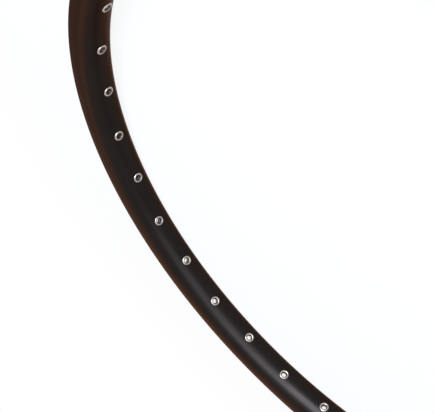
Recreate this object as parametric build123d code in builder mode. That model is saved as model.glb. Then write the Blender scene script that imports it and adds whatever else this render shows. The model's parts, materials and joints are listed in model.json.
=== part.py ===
import os
from math import cos, degrees, radians, sin, sqrt

from build123d import *

# Double-walled bicycle rim, in millimetres.
# The wheel's axis is Z, the origin is the wheel's centre and the valve hole lies on +X.

# Tyre seat and flanges
bead_seat_diameter = 559.0
flange_height = 6.0
flange_wall = 2.2
hook_height = 2.4
hook_reach = 1.0
tip_chamfer = 0.7

# Outline of the section: a flat land under the eyelets, round flanks and straight sides
rim_width = 32.6
rim_depth = 22.0
land_width = 9.2
flank_rise = 12.3

# Drop centre of the tyre bed
well_depth = 5.8
well_floor_width = 13.0
well_ramp_width = 3.0

# Walls round the hollow chamber
arch_wall = 1.9
side_wall = 1.9
bed_wall = 1.5

# Spoke holes, valve hole and butt joint
spoke_count = 32
spoke_stagger = 0.9
access_hole_diameter = 9.0
valve_hole_diameter = 8.5
seam_gap = 0.08

# Eyelets, swaged into the spoke holes
eyelet_flange_diameter = 9.4
eyelet_dome_height = 0.8
eyelet_mouth_diameter = 6.2
eyelet_mouth_depth = 1.1
eyelet_bore_diameter = 4.4
eyelet_barrel_diameter = 5.8
eyelet_flare_diameter = 7.4
eyelet_flare_height = 1.0

# Sleeve inside the chamber, across the butt joint
sleeve_end_gap = 1.0

# Fits
eyelet_clearance = 0.05
sleeve_clearance = 0.08

# Radii from the wheel's axis
seat_radius = bead_seat_diameter / 2
rim_radius = seat_radius + flange_height
hook_radius = rim_radius - hook_height
land_radius = rim_radius - rim_depth
flank_foot = land_radius + flank_rise
well_radius = seat_radius - well_depth

# Heights from the mid-plane
half_width = rim_width / 2
half_land = land_width / 2
flange_face = half_width - flange_wall
hook_face = flange_face - hook_reach
well_edge = well_floor_width / 2
ramp_edge = well_edge + well_ramp_width

# The circle that both flanks follow, centred on the mid-plane
flank_centre = (flank_foot + land_radius) / 2 + (half_width**2 - half_land**2) / (2 * flank_rise)
flank_radius = sqrt((flank_centre - land_radius) ** 2 + half_land**2)

# The chamber, and where the spoke holes step from the eyelet's size to the access hole's
chamber_floor = flank_centre - sqrt((flank_radius - arch_wall) ** 2 - half_land**2)
chamber_top = well_radius - bed_wall
chamber_middle = (chamber_floor + chamber_top) / 2

# The eyelet's flange lies flat across a land that curves round it
flange_radius = eyelet_flange_diameter / 2
eyelet_seat = sqrt(land_radius**2 - flange_radius**2) - eyelet_clearance

# Turns round the wheel, in degrees
spoke_pitch = 360 / spoke_count
seam_angle = spoke_count // 2 * spoke_pitch
seam_turn = degrees(seam_gap / rim_radius)
sleeve_turn = spoke_pitch - 2 * degrees((access_hole_diameter / 2 + sleeve_end_gap) / chamber_floor)


def section_plane(angle):
    """The plane through the wheel's axis at an angle: local X is the radius and local Y is the axis."""
    outward = Vector(cos(radians(angle)), sin(radians(angle)), 0)
    return Plane(origin=(0, 0, 0), x_dir=outward, z_dir=outward.cross(Vector(0, 0, 1)))


def hole_place(angle, height):
    """A place on the well floor whose Z axis points straight out from the wheel's axis."""
    outward = Vector(cos(radians(angle)), sin(radians(angle)), 0)
    return Plane(origin=outward * well_radius + Vector(0, 0, height), z_dir=outward).location


def spoke_angle(number):
    """Holes are numbered from the valve hole, which lies midway between the last and the first."""
    return (number + 0.5) * spoke_pitch


def spoke_height(number):
    return spoke_stagger if number % 2 else -spoke_stagger


def eyelet_place(number):
    """How an eyelet modelled on the X axis is moved to its own spoke hole."""
    return Location((0, 0, spoke_height(number)), (0, 0, spoke_angle(number)))


def chamber_face(inset):
    """The chamber's section, moved inwards on every side by an inset."""
    outer_end = flank_centre + flank_radius
    floor = chamber_floor + inset
    top = chamber_top - inset
    seat = seat_radius - bed_wall - inset
    with BuildSketch() as chamber:
        with Locations((flank_centre, 0)):
            Circle(flank_radius - arch_wall - inset)
        with Locations(((floor + outer_end) / 2, 0)):
            Rectangle(outer_end - floor, rim_width - 2 * side_wall - 2 * inset, mode=Mode.INTERSECT)
        with BuildLine():
            bed = Polyline(
                (top, 0),
                (top, well_edge),
                (seat, ramp_edge),
                (seat, rim_width),
                (outer_end + rim_width, rim_width),
                (outer_end + rim_width, 0),
            )
            mirror(bed, about=Plane.XZ)
        make_face(mode=Mode.SUBTRACT)
    return chamber.sketch


# Hoop: one extruded section bent into a ring that is open by a hair at its butt joint
with BuildPart() as rim_hoop:
    with BuildSketch(section_plane(seam_angle + seam_turn / 2)):
        with BuildLine():
            Line((land_radius, -half_land), (land_radius, half_land))
            flank_middle = (half_land + half_width) / 2
            flank = ThreePointArc(
                (land_radius, half_land),
                (flank_centre - sqrt(flank_radius**2 - flank_middle**2), flank_middle),
                (flank_foot, half_width),
            )
            flange_and_bed = Polyline(
                (flank_foot, half_width),
                (rim_radius - tip_chamfer, half_width),
                (rim_radius, half_width - tip_chamfer),
                (rim_radius, hook_face + tip_chamfer),
                (rim_radius - tip_chamfer, hook_face),
                (hook_radius, hook_face),
                (hook_radius - hook_reach, flange_face),
                (seat_radius, flange_face),
                (seat_radius, ramp_edge),
                (well_radius, well_edge),
                (well_radius, 0),
            )
            mirror([flank, flange_and_bed], about=Plane.XZ)
        make_face()
        add(chamber_face(0), mode=Mode.SUBTRACT)
    revolve(axis=Axis.Z, revolution_arc=360 - seam_turn)
    with Locations(*[hole_place(spoke_angle(n), spoke_height(n)) for n in range(spoke_count)]):
        CounterBoreHole(
            radius=eyelet_barrel_diameter / 2 + eyelet_clearance,
            counter_bore_radius=access_hole_diameter / 2,
            counter_bore_depth=well_radius - chamber_middle,
            depth=rim_depth,
        )
    with Locations(hole_place(0, 0)):
        Hole(valve_hole_diameter / 2, depth=rim_depth)

# Eyelet: a domed flange on the land, a barrel through the wall and a flare inside the chamber
with BuildPart() as eyelet:
    with BuildSketch(Plane.XZ):
        with BuildLine():
            Polyline(
                (eyelet_seat - eyelet_dome_height, eyelet_mouth_diameter / 2),
                (eyelet_seat, flange_radius),
                (eyelet_seat, eyelet_barrel_diameter / 2),
                (chamber_floor + eyelet_clearance, eyelet_barrel_diameter / 2),
                (chamber_floor + eyelet_flare_height, eyelet_flare_diameter / 2),
                (chamber_floor + eyelet_flare_height, eyelet_bore_diameter / 2),
                (eyelet_seat - eyelet_dome_height + eyelet_mouth_depth, eyelet_bore_diameter / 2),
                close=True,
            )
        make_face()
    revolve(axis=Axis.X)

# Sleeve: a plug of the chamber's own section, pressed into both ends of the hoop
with BuildPart() as joint_sleeve:
    with BuildSketch(section_plane(seam_angle - sleeve_turn / 2)):
        add(chamber_face(sleeve_clearance))
    revolve(axis=Axis.Z, revolution_arc=sleeve_turn)

# The eyelets stand in two rows, one each side of the mid-plane
with BuildPart() as right_eyelets:
    with Locations(*[eyelet_place(n) for n in range(0, spoke_count, 2)]):
        add(eyelet.part)

with BuildPart() as left_eyelets:
    with Locations(*[eyelet_place(n) for n in range(1, spoke_count, 2)]):
        add(eyelet.part)

os.makedirs("parts", exist_ok=True)

rim_hoop.part.label = "rim_hoop"
export_step(rim_hoop.part, "parts/rim_hoop.step")

joint_sleeve.part.label = "joint_sleeve"
export_step(joint_sleeve.part, "parts/joint_sleeve.step")

right_eyelets.part.label = "right_eyelets"
export_step(right_eyelets.part, "parts/right_eyelets.step")

left_eyelets.part.label = "left_eyelets"
export_step(left_eyelets.part, "parts/left_eyelets.step")
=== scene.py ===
import json
from math import atan2, hypot, pi, radians, sqrt

import bmesh
import bpy
from mathutils import Matrix, Vector


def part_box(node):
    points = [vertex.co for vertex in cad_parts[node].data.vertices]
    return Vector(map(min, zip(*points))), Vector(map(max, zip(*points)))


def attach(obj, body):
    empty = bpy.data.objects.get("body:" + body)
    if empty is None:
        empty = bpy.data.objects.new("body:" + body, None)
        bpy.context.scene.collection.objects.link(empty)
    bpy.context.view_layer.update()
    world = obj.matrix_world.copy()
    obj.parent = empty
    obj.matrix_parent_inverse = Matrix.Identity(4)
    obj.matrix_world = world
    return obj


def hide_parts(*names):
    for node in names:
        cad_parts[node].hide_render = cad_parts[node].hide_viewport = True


# A black double-walled bicycle rim with bright eyelets, lying on a pale floor.
# The wheel's axis is Z and the valve hole lies on +X, as in the frame.
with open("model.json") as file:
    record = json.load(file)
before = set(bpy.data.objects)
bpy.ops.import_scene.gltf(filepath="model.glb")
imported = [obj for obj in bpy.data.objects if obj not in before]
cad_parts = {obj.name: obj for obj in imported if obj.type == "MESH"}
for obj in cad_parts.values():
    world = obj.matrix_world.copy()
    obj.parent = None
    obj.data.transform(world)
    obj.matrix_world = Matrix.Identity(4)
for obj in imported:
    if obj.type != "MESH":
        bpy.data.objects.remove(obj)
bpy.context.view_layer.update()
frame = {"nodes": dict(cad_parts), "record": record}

mm = 0.001

# Sizes read from the frame
hoop_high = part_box("rim_hoop")[1]
mounts = {mount["name"]: mount for mount in frame["record"]["mounts"]}
rim_radius = hoop_high.x
half_width = hoop_high.z
spoke_place = Vector(mounts["spoke_hole"]["pos_m"])
first_spoke_angle = atan2(spoke_place.y, spoke_place.x)
spoke_stagger = abs(spoke_place.z)
bore_radius = mounts["spoke_hole"]["dims"]["r_mm"] * mm
valve_radius = mounts["valve_hole"]["dims"]["r_mm"] * mm

# Section of the hoop, from the tyre's side to the spokes' side
flange_height = 6.0 * mm
flange_wall = 2.2 * mm
hook_height = 2.4 * mm
hook_reach = 1.0 * mm
well_depth = 5.8 * mm
well_edge = 6.5 * mm
well_ramp = 3.0 * mm
rim_depth = 22.0 * mm
flank_rise = 12.3 * mm
half_land = 4.6 * mm
seat_radius = rim_radius - flange_height
well_radius = seat_radius - well_depth
land_radius = rim_radius - rim_depth
flank_foot = land_radius + flank_rise
flank_middle = (flank_foot + land_radius) / 2
flank_centre = flank_middle + (half_width**2 - half_land**2) / (2 * flank_rise)
flank_radius = hypot(flank_centre - land_radius, half_land)

# Soft forms of the section: the land's crown is a share of the flanks' own circle
land_crown = 0.6
land_blend = 2.0 * mm
land_smoothing = 16
foot_blend = 1.5 * mm
foot_smoothing = 4
side_wall_steps = (0, 1.0 * mm, 2.0 * mm, 3.0 * mm)
tip_round = 0.8 * mm
hook_tip_round = 1.0 * mm
hook_round = 0.5 * mm
seat_round = 0.8 * mm
well_round = 1.2 * mm

# Walls round the chamber
arch_wall = 1.9 * mm
side_wall = 1.9 * mm
bed_wall = 1.5 * mm
chamber_arch = flank_radius - arch_wall
chamber_floor = flank_centre - sqrt(chamber_arch**2 - half_land**2)
chamber_side = half_width - side_wall
chamber_foot = flank_centre - sqrt(chamber_arch**2 - chamber_side**2)
chamber_top = well_radius - bed_wall
chamber_middle = (chamber_floor + chamber_top) / 2

# Eyelets. The lip's curve runs from the funnel over the top to the edge:
# each point is so far below the top and so far outside the bore.
eyelet_top = 262.58 * mm
eyelet_radius = 4.7 * mm
eyelet_flare_radius = 3.7 * mm
eyelet_flare = 1.0 * mm
barrel_radius = 2.9 * mm
funnel_depth = 1.5 * mm
funnel_spread = 1.0 * mm
lip_curve = (
    (0.6 * mm, 0.5 * mm),
    (0.22 * mm, 0.95 * mm),
    (0.04 * mm, 1.3 * mm),
    (0, 1.6 * mm),
    (0.1 * mm, 1.95 * mm),
    (0.36 * mm, 2.3 * mm),
)
lip_edge = 0.8 * mm
lip_underside = 1.05 * mm

# Holes and the butt joint
spoke_count = 32
spoke_pitch = 2 * pi / spoke_count
access_radius = 4.5 * mm
hole_clearance = 0.05 * mm
drill_start = eyelet_top - 3.0 * mm
drill_end = well_radius + 2.0 * mm
seam_gap = 0.08 * mm
seam_blade_length = 60.0 * mm

# How finely round forms are divided, and how close two places count as one
hoop_steps = 20 * spoke_count
chamber_steps = 8 * spoke_count
arch_points = 96
hole_points = 40
arch_end_gap = 0.3 * mm
pick_distance = 0.02 * mm
merge_distance = 0.01 * mm
hoop_smooth_angle = radians(32)
eyelet_smooth_angle = radians(50)

# Floor and lamps
floor_size = 12
floor_gap = 0.1 * mm
shadow_near = 0.32
shadow_far = 0.6
lamp_aim = Vector((-0.12, 0.23, 0))
daylight = (0.68, 0.83, 1)
warm_light = (1, 0.48, 0.25)

# The photograph's view
camera_place = Vector((0.2761, -0.4291, 0.2802))
camera_turn = (-51.39, 40.77, -127.04)
camera_lens = 65.38
camera_sensor = 36
camera_shift = -0.15
camera_near = 0.01


def deselect_all():
    bpy.ops.object.select_all(action="DESELECT")


def select_only(piece):
    """Makes a piece the only one selected, and the active one."""
    deselect_all()
    piece.select_set(True)
    bpy.context.view_layer.objects.active = piece


def edit(piece):
    """Opens a piece for modelling."""
    select_only(piece)
    bpy.ops.object.mode_set(mode="EDIT")
    bpy.ops.mesh.select_mode(type="VERT")


def leave_edit():
    bpy.ops.object.mode_set(mode="OBJECT")


def select_points(piece, chosen):
    """In edit mode, selects the vertices whose place passes a test, and nothing else."""
    mesh = bmesh.from_edit_mesh(piece.data)
    for vertex in mesh.verts:
        vertex.select = chosen(vertex.co)
    mesh.select_flush_mode()
    bmesh.update_edit_mesh(piece.data)


def near(place):
    """A test for the vertices at a place."""
    return lambda point: (point - place).length < pick_distance


def apply_placement():
    """Moves the selected object's place, turn and scale into its mesh."""
    bpy.ops.object.transform_apply(location=True, rotation=True, scale=True)


def merge_points(piece):
    """Joins the vertices that lie on each other."""
    edit(piece)
    bpy.ops.mesh.select_all(action="SELECT")
    bpy.ops.mesh.remove_doubles(threshold=merge_distance)
    leave_edit()


def face_outwards(piece):
    """Turns the faces of a closed piece outwards."""
    edit(piece)
    bpy.ops.mesh.select_all(action="SELECT")
    bpy.ops.mesh.normals_make_consistent(inside=False)
    leave_edit()


def assign_material(piece, slot, chosen):
    """Gives the faces between the chosen vertices the material in a slot."""
    piece.active_material_index = slot
    edit(piece)
    select_points(piece, chosen)
    bpy.ops.object.material_slot_assign()
    leave_edit()


def join(pieces, name):
    """Joins pieces into the first of them."""
    deselect_all()
    for piece in pieces:
        piece.select_set(True)
    bpy.context.view_layer.objects.active = pieces[0]
    bpy.ops.object.join()
    pieces[0].name = name
    pieces[0].data.name = name
    return pieces[0]


def section_point(radius, height):
    """A point of a section, which is drawn in the XZ plane."""
    return Vector((radius, 0, height))


def draw_arch(name, radius, floor, foot, crown):
    """The round side of a section: a circle cut off at its feet.

    Past the floor, the circle's crest is flattened to the crown's share of its height.
    """
    deselect_all()
    bpy.ops.mesh.primitive_circle_add(
        vertices=arch_points,
        radius=radius,
        location=(flank_centre, 0, 0),
        rotation=(pi / 2, 0, 0),
    )
    section = bpy.context.object
    section.name = name
    apply_placement()
    edit(section)
    select_points(section, lambda point: point.x > foot - arch_end_gap)
    bpy.ops.mesh.delete(type="VERT")
    select_points(section, lambda point: point.x < floor)
    bpy.ops.transform.resize(value=(crown, 1, 1), center_override=(floor, 0, 0))
    leave_edit()
    return section


def extrude_ends(section, outline):
    """Extrudes both ends of a section through an outline and its mirror image."""
    for side in (1, -1):
        points = [vertex.co.copy() for vertex in section.data.vertices]
        end = max(points, key=lambda point: point.x + side * point.z)
        edit(section)
        select_points(section, near(end))
        for radius, height in outline:
            next_end = section_point(radius, side * height)
            bpy.ops.mesh.extrude_region_move(TRANSFORM_OT_translate={"value": next_end - end})
            end = next_end
        leave_edit()


def smooth_points(section, chosen, times):
    """Draws the chosen vertices of a section into a smooth curve."""
    edit(section)
    select_points(section, chosen)
    bpy.ops.mesh.vertices_smooth(factor=0.5, repeat=times)
    leave_edit()


def round_corner(section, radius, height, size, segments=3):
    """Rounds a corner of a section and the one opposite."""
    for side in (1, -1):
        edit(section)
        select_points(section, near(section_point(radius, side * height)))
        bpy.ops.mesh.bevel(affect="VERTICES", offset=size, segments=segments)
        leave_edit()


def spin_section(section, steps):
    """Spins a closed section round the wheel's axis into a ring."""
    edit(section)
    bpy.ops.mesh.select_all(action="SELECT")
    bpy.ops.mesh.spin(steps=steps, angle=2 * pi, center=(0, 0, 0), axis=(0, 0, 1))
    leave_edit()
    merge_points(section)
    face_outwards(section)


def model_skin():
    """The hoop's outside: arch, side walls, hooked flanges and tyre bed."""
    skin = draw_arch("hoop", flank_radius, land_radius, flank_foot, land_crown)
    extrude_ends(skin, [(flank_foot + rise, half_width) for rise in side_wall_steps])
    smooth_points(skin, lambda point: point.x < land_radius + land_blend, land_smoothing)
    smooth_points(skin, lambda point: abs(point.x - flank_foot) < foot_blend, foot_smoothing)
    flange_face = half_width - flange_wall
    hook_face = flange_face - hook_reach
    hook_radius = rim_radius - hook_height
    ramp_edge = well_edge + well_ramp
    extrude_ends(
        skin,
        [
            (rim_radius, half_width),
            (rim_radius, hook_face),
            (hook_radius, hook_face),
            (hook_radius - hook_reach, flange_face),
            (seat_radius, flange_face),
            (seat_radius, ramp_edge),
            (well_radius, well_edge),
            (well_radius, 0),
        ],
    )
    merge_points(skin)
    round_corner(skin, rim_radius, half_width, tip_round, segments=4)
    round_corner(skin, rim_radius, hook_face, hook_tip_round, segments=4)
    round_corner(skin, hook_radius, hook_face, hook_round)
    round_corner(skin, hook_radius - hook_reach, flange_face, hook_round)
    round_corner(skin, seat_radius, flange_face, seat_round)
    round_corner(skin, seat_radius, ramp_edge, well_round)
    round_corner(skin, well_radius, well_edge, well_round)
    spin_section(skin, hoop_steps)
    return skin


def model_chamber():
    """The hollow between the arch and the tyre bed, with its faces towards the hollow."""
    chamber = draw_arch("chamber", chamber_arch, chamber_floor, chamber_foot, crown=0)
    bed_underside = seat_radius - bed_wall
    extrude_ends(
        chamber,
        [
            (chamber_foot, chamber_side),
            (bed_underside, chamber_side),
            (bed_underside, well_edge + well_ramp),
            (chamber_top, well_edge),
            (chamber_top, 0),
        ],
    )
    merge_points(chamber)
    spin_section(chamber, chamber_steps)
    edit(chamber)
    bpy.ops.mesh.select_all(action="SELECT")
    bpy.ops.mesh.flip_normals()
    leave_edit()
    return chamber


def turn_piece(name, profile):
    """A turned piece on the X axis: one circle, extruded and scaled through a profile.

    Each point of the profile is a place on the axis and a radius.
    """
    place, radius = profile[0]
    deselect_all()
    bpy.ops.mesh.primitive_circle_add(
        vertices=hole_points,
        radius=radius,
        location=(place, 0, 0),
        rotation=(0, pi / 2, 0),
    )
    piece = bpy.context.object
    piece.name = name
    apply_placement()
    edit(piece)
    bpy.ops.mesh.select_all(action="SELECT")
    for next_place, next_radius in profile[1:]:
        step = (next_place - place, 0, 0)
        bpy.ops.mesh.extrude_region_move(TRANSFORM_OT_translate={"value": step})
        growth = next_radius / radius
        bpy.ops.transform.resize(value=(1, growth, growth), center_override=(next_place, 0, 0))
        place, radius = next_place, next_radius
    leave_edit()
    return piece


def turn_drill(name, profile):
    """A turned piece with closed ends, to cut with."""
    drill = turn_piece(name, profile)
    for place in (profile[0][0], profile[-1][0]):
        edit(drill)
        select_points(drill, lambda point: abs(point.x - place) < merge_distance)
        bpy.ops.mesh.edge_face_add()
        leave_edit()
    face_outwards(drill)
    return drill


def copy_to_spoke(piece, number):
    """A copy with its own mesh of a piece that lies on the X axis, moved to one spoke hole."""
    height = spoke_stagger if number % 2 else -spoke_stagger
    turn = Matrix.Rotation(first_spoke_angle + number * spoke_pitch, 4, "Z")
    copy = piece.copy()
    copy.data = piece.data.copy()
    copy.data.transform(Matrix.Translation((0, 0, height)) @ turn)
    bpy.context.scene.collection.objects.link(copy)
    return copy


def model_blade():
    """The thin saw cut of the butt joint, opposite the valve hole."""
    deselect_all()
    bpy.ops.mesh.primitive_cube_add(size=1, location=(-rim_radius, 0, 0))
    blade = bpy.context.object
    blade.scale = (seam_blade_length, seam_gap, 3 * half_width)
    apply_placement()
    return blade


def drill_hoop(hoop):
    """Cuts the spoke holes, the valve hole and the butt joint out of the hoop, down to bare metal."""
    spoke_radius = barrel_radius + hole_clearance
    spoke_drill = turn_drill(
        "spoke_drill",
        [
            (drill_start, spoke_radius),
            (chamber_middle, spoke_radius),
            (chamber_middle, access_radius),
            (drill_end, access_radius),
        ],
    )
    valve_drill = turn_drill("valve_drill", [(drill_start, valve_radius), (drill_end, valve_radius)])
    spoke_drills = [copy_to_spoke(spoke_drill, number) for number in range(spoke_count)]
    cutter = join([valve_drill, model_blade()] + spoke_drills, "cutter")
    for material in hoop.data.materials:
        cutter.data.materials.append(material)
    assign_material(cutter, 1, lambda point: True)
    cut = hoop.modifiers.new("holes", "BOOLEAN")
    cut.operation = "DIFFERENCE"
    cut.solver = "EXACT"
    cut.object = cutter
    select_only(hoop)
    bpy.ops.object.modifier_apply(modifier=cut.name)
    bpy.data.objects.remove(cutter)
    bpy.data.objects.remove(spoke_drill)


def model_hoop():
    hoop = join([model_skin(), model_chamber()], "hoop")
    hoop.data.materials.append(black_anodising())
    hoop.data.materials.append(drilled_metal())
    drill_hoop(hoop)
    select_only(hoop)
    bpy.ops.object.shade_smooth_by_angle(angle=hoop_smooth_angle)
    return hoop


def model_eyelet():
    """A swaged eyelet on the X axis: domed lip, funnel, bore, and the flare inside the chamber."""
    flare_end = chamber_floor + eyelet_flare
    funnel_end = eyelet_top + funnel_depth
    lip = [(eyelet_top + depth, bore_radius + spread) for depth, spread in lip_curve]
    eyelet = turn_piece(
        "eyelet",
        [
            (flare_end, bore_radius),
            (funnel_end, bore_radius),
            *lip,
            (eyelet_top + lip_edge, eyelet_radius),
            (eyelet_top + lip_underside, eyelet_radius),
            (eyelet_top + lip_underside, barrel_radius),
            (chamber_floor + hole_clearance, barrel_radius),
            (flare_end, eyelet_flare_radius),
            (flare_end, bore_radius),
        ],
    )
    merge_points(eyelet)
    face_outwards(eyelet)
    eyelet.data.materials.append(bright_plating())
    eyelet.data.materials.append(painted_shade_plating())

    def in_funnel(point):
        spread = hypot(point.y, point.z) - bore_radius
        return point.x < funnel_end + merge_distance and spread < funnel_spread

    # The funnel faces get the material with painted shade, a dark colour in place of the shade in the
    # recess.
    assign_material(eyelet, 1, in_funnel)
    return eyelet


def model_eyelet_row(eyelet, first, name):
    """Every second spoke hole's eyelet, from the first."""
    row = join([copy_to_spoke(eyelet, number) for number in range(first, spoke_count, 2)], name)
    select_only(row)
    bpy.ops.object.shade_smooth_by_angle(angle=eyelet_smooth_angle)
    return row


def new_material(name):
    material = bpy.data.materials.new(name)
    material.use_nodes = True
    return material, material.node_tree.nodes, material.node_tree.links


def extrusion_lines(nodes, links, coordinates, scale):
    """Noise that runs in fine lines round the wheel: it depends on the radius and the height only."""
    split = nodes.new("ShaderNodeSeparateXYZ")
    flat = nodes.new("ShaderNodeCombineXYZ")
    radius = nodes.new("ShaderNodeVectorMath")
    radius.operation = "LENGTH"
    across = nodes.new("ShaderNodeCombineXYZ")
    lines = nodes.new("ShaderNodeTexNoise")
    lines.inputs["Scale"].default_value = scale
    lines.inputs["Detail"].default_value = 4
    links.new(coordinates.outputs["Object"], split.inputs["Vector"])
    links.new(split.outputs["X"], flat.inputs["X"])
    links.new(split.outputs["Y"], flat.inputs["Y"])
    links.new(flat.outputs["Vector"], radius.inputs[0])
    links.new(radius.outputs["Value"], across.inputs["X"])
    links.new(split.outputs["Z"], across.inputs["Y"])
    links.new(across.outputs["Vector"], lines.inputs["Vector"])
    return lines


def spots(nodes, links, coordinates, scale, detail):
    """Noise in even spots all over a piece."""
    noise = nodes.new("ShaderNodeTexNoise")
    noise.inputs["Scale"].default_value = scale
    noise.inputs["Detail"].default_value = detail
    links.new(coordinates.outputs["Object"], noise.inputs["Vector"])
    return noise


def vary_colour(nodes, links, pattern, dark, light, start=0, end=1):
    """Runs a surface's colour from dark to light along a pattern."""
    colour = nodes.new("ShaderNodeValToRGB")
    colour.color_ramp.elements[0].position = start
    colour.color_ramp.elements[0].color = dark
    colour.color_ramp.elements[1].position = end
    colour.color_ramp.elements[1].color = light
    links.new(pattern.outputs["Fac"], colour.inputs["Fac"])
    links.new(colour.outputs["Color"], nodes["Principled BSDF"].inputs["Base Color"])


def vary_roughness(nodes, links, pattern, least, most):
    """Runs a surface's roughness from least to most along a pattern."""
    roughness = nodes.new("ShaderNodeMapRange")
    roughness.inputs["To Min"].default_value = least
    roughness.inputs["To Max"].default_value = most
    links.new(pattern.outputs["Fac"], roughness.inputs["Value"])
    links.new(roughness.outputs["Result"], nodes["Principled BSDF"].inputs["Roughness"])


def bump(nodes, links, pattern, strength, distance):
    """Raises a surface along a pattern."""
    relief = nodes.new("ShaderNodeBump")
    relief.inputs["Strength"].default_value = strength
    relief.inputs["Distance"].default_value = distance
    links.new(pattern.outputs["Fac"], relief.inputs["Height"])
    return relief


def black_anodising():
    """Satin black anodising: a dark metal that turns brown at its edges.

    It has fine lines from the extrusion, and a fine grain.
    """
    material, nodes, links = new_material("black_anodising")
    shader = nodes["Principled BSDF"]
    shader.inputs["Metallic"].default_value = 1
    shader.inputs["Specular Tint"].default_value = (0.64, 0.52, 0.475, 1)
    coordinates = nodes.new("ShaderNodeTexCoord")
    lines = extrusion_lines(nodes, links, coordinates, scale=1800)
    clouds = spots(nodes, links, coordinates, scale=30, detail=3)
    grain = spots(nodes, links, coordinates, scale=5200, detail=2)
    dark = (0.018, 0.0142, 0.0129, 1)
    light = (0.02, 0.0158, 0.0145, 1)
    vary_colour(nodes, links, clouds, dark, light, start=0.3, end=0.7)
    vary_roughness(nodes, links, lines, least=0.32, most=0.41)
    line_bump = bump(nodes, links, lines, strength=0.08, distance=0.02 * mm)
    grain_bump = bump(nodes, links, grain, strength=0.12, distance=0.01 * mm)
    links.new(line_bump.outputs["Normal"], grain_bump.inputs["Normal"])
    links.new(grain_bump.outputs["Normal"], shader.inputs["Normal"])
    return material


def uneven_metal(name, dark, light, least_rough, most_rough):
    """Metal whose colour and gloss vary slightly from spot to spot."""
    material, nodes, links = new_material(name)
    nodes["Principled BSDF"].inputs["Metallic"].default_value = 1
    coordinates = nodes.new("ShaderNodeTexCoord")
    blotches = spots(nodes, links, coordinates, scale=700, detail=3)
    vary_colour(nodes, links, blotches, dark, light)
    vary_roughness(nodes, links, blotches, least_rough, most_rough)
    return material


def bright_plating():
    """The eyelets' lips, polished by the swaging, and their bores."""
    dark = (0.34, 0.285, 0.25, 1)
    light = (0.47, 0.405, 0.365, 1)
    return uneven_metal("bright_plating", dark, light, least_rough=0.24, most_rough=0.36)


def painted_shade_plating():
    """The eyelets' funnels: rough plating with painted shade, far darker than the lips, for the shade
    in the funnel's recess.
    """
    # Painted shade: these colours are much darker than the lips' plating, to stand in for the shade
    # inside the funnel.
    dark = (0.06, 0.043, 0.034, 1)
    light = (0.1, 0.074, 0.06, 1)
    return uneven_metal("painted_shade_plating", dark, light, least_rough=0.5, most_rough=0.7)


def drilled_metal():
    """The walls of the holes and the ends at the butt joint, cut after the anodising."""
    dark = (0.5, 0.48, 0.46, 1)
    light = (0.66, 0.64, 0.62, 1)
    return uneven_metal("drilled_metal", dark, light, least_rough=0.35, most_rough=0.5)


def plain_extrusion():
    """Plain aluminium as it leaves the press, with lines round the wheel."""
    material, nodes, links = new_material("plain_extrusion")
    nodes["Principled BSDF"].inputs["Metallic"].default_value = 1
    coordinates = nodes.new("ShaderNodeTexCoord")
    lines = extrusion_lines(nodes, links, coordinates, scale=2400)
    vary_colour(nodes, links, lines, dark=(0.55, 0.55, 0.56, 1), light=(0.74, 0.74, 0.75, 1))
    vary_roughness(nodes, links, lines, least=0.38, most=0.55)
    return material


def seen_directly(nodes, links):
    """1 for rays from the camera and those that metal or glass send on, 0 for light on other things."""
    path = nodes.new("ShaderNodeLightPath")
    either = nodes.new("ShaderNodeMath")
    either.operation = "MAXIMUM"
    any_of_them = nodes.new("ShaderNodeMath")
    any_of_them.operation = "MAXIMUM"
    links.new(path.outputs["Is Camera Ray"], either.inputs[0])
    links.new(path.outputs["Is Glossy Ray"], either.inputs[1])
    links.new(either.outputs["Value"], any_of_them.inputs[0])
    links.new(path.outputs["Is Transmission Ray"], any_of_them.inputs[1])
    return any_of_them.outputs["Value"]


def white_floor():
    """Pale paper that looks white, with the object's shadow still on it near the rim."""
    material, nodes, links = new_material("white_floor")
    shader = nodes["Principled BSDF"]
    shader.inputs["Base Color"].default_value = (0.92, 0.92, 0.92, 1)
    shader.inputs["Roughness"].default_value = 0.9
    shader.inputs["Specular IOR Level"].default_value = 0
    glow = nodes.new("ShaderNodeEmission")
    coordinates = nodes.new("ShaderNodeTexCoord")
    distance = nodes.new("ShaderNodeVectorMath")
    distance.operation = "LENGTH"
    fade = nodes.new("ShaderNodeMapRange")
    fade.inputs["From Min"].default_value = shadow_near
    fade.inputs["From Max"].default_value = shadow_far
    fade.inputs["To Min"].default_value = 0.9
    fade.inputs["To Max"].default_value = 1
    share = nodes.new("ShaderNodeMath")
    share.operation = "MULTIPLY"
    mix = nodes.new("ShaderNodeMixShader")
    links.new(coordinates.outputs["Object"], distance.inputs[0])
    links.new(distance.outputs["Value"], fade.inputs["Value"])
    links.new(seen_directly(nodes, links), share.inputs[0])
    links.new(fade.outputs["Result"], share.inputs[1])
    links.new(share.outputs["Value"], mix.inputs["Fac"])
    links.new(shader.outputs["BSDF"], mix.inputs[1])
    links.new(glow.outputs["Emission"], mix.inputs[2])
    links.new(mix.outputs["Shader"], nodes["Material Output"].inputs["Surface"])
    return material


def lay_floor():
    deselect_all()
    bpy.ops.mesh.primitive_plane_add(size=floor_size, location=(0, 0, -half_width - floor_gap))
    floor = bpy.context.object
    floor.name = "floor"
    floor.data.materials.append(white_floor())


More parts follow.
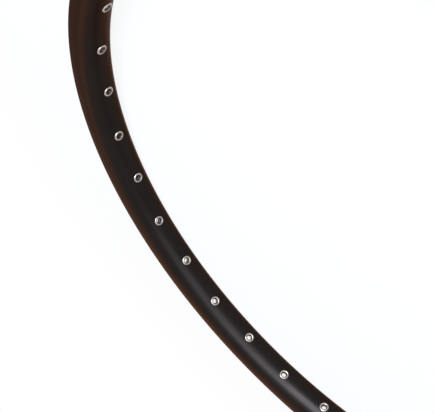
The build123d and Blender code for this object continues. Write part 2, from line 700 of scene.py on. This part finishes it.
def light_world():
    """A white surround to look at, and a dim one to light by."""
    world = bpy.data.worlds.new("studio")
    world.use_nodes = True
    bpy.context.scene.world = world
    nodes = world.node_tree.nodes
    links = world.node_tree.links
    colour = nodes.new("ShaderNodeMix")
    colour.data_type = "RGBA"
    colour.inputs["A"].default_value = (0.1, 0.09, 0.08, 1)
    colour.inputs["B"].default_value = (1, 1, 1, 1)
    links.new(seen_directly(nodes, links), colour.inputs["Factor"])
    links.new(colour.outputs["Result"], nodes["Background"].inputs["Color"])


def hang_lamp(name, place, width, height, power, colour):
    """A soft box, turned towards the point that all lamps are aimed at."""
    deselect_all()
    bpy.ops.object.light_add(type="AREA", location=place)
    lamp = bpy.context.object
    lamp.name = name
    lamp.rotation_euler = (lamp_aim - Vector(place)).to_track_quat("-Z", "Y").to_euler()
    lamp.data.shape = "RECTANGLE"
    lamp.data.size = width
    lamp.data.size_y = height
    lamp.data.energy = power
    lamp.data.color = colour


def set_camera():
    deselect_all()
    turn = [radians(angle) for angle in camera_turn]
    bpy.ops.object.camera_add(location=camera_place, rotation=turn)
    camera = bpy.context.object
    camera.data.lens = camera_lens
    camera.data.sensor_width = camera_sensor
    camera.data.shift_x = camera_shift
    camera.data.clip_start = camera_near
    bpy.context.scene.camera = camera


hoop = model_hoop()
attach(hoop, "root")
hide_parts("rim_hoop")

eyelet = model_eyelet()
for row_name, first, node in (("right_row", 0, "right_eyelets"), ("left_row", 1, "left_eyelets")):
    row = model_eyelet_row(eyelet, first, row_name)
    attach(row, "root")
    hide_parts(node)
bpy.data.objects.remove(eyelet)

sleeve = frame["nodes"]["joint_sleeve"]
sleeve.data.materials.clear()
sleeve.data.materials.append(plain_extrusion())

lay_floor()
light_world()
hang_lamp("window", (0.1, -1.17, 0.53), width=1.5, height=1.05, power=14.6, colour=daylight)
hang_lamp("key", (0.59, -0.63, 1), width=1, height=1.05, power=16, colour=daylight)
hang_lamp("strip", (1.06, -0.6, 0.5), width=0.22, height=0.8, power=24.5, colour=daylight)
hang_lamp("back", (-0.57, 1.17, 1.08), width=0.7, height=1.28, power=3.4, colour=warm_light)
set_camera()

bpy.context.scene.view_settings.view_transform = "Standard"
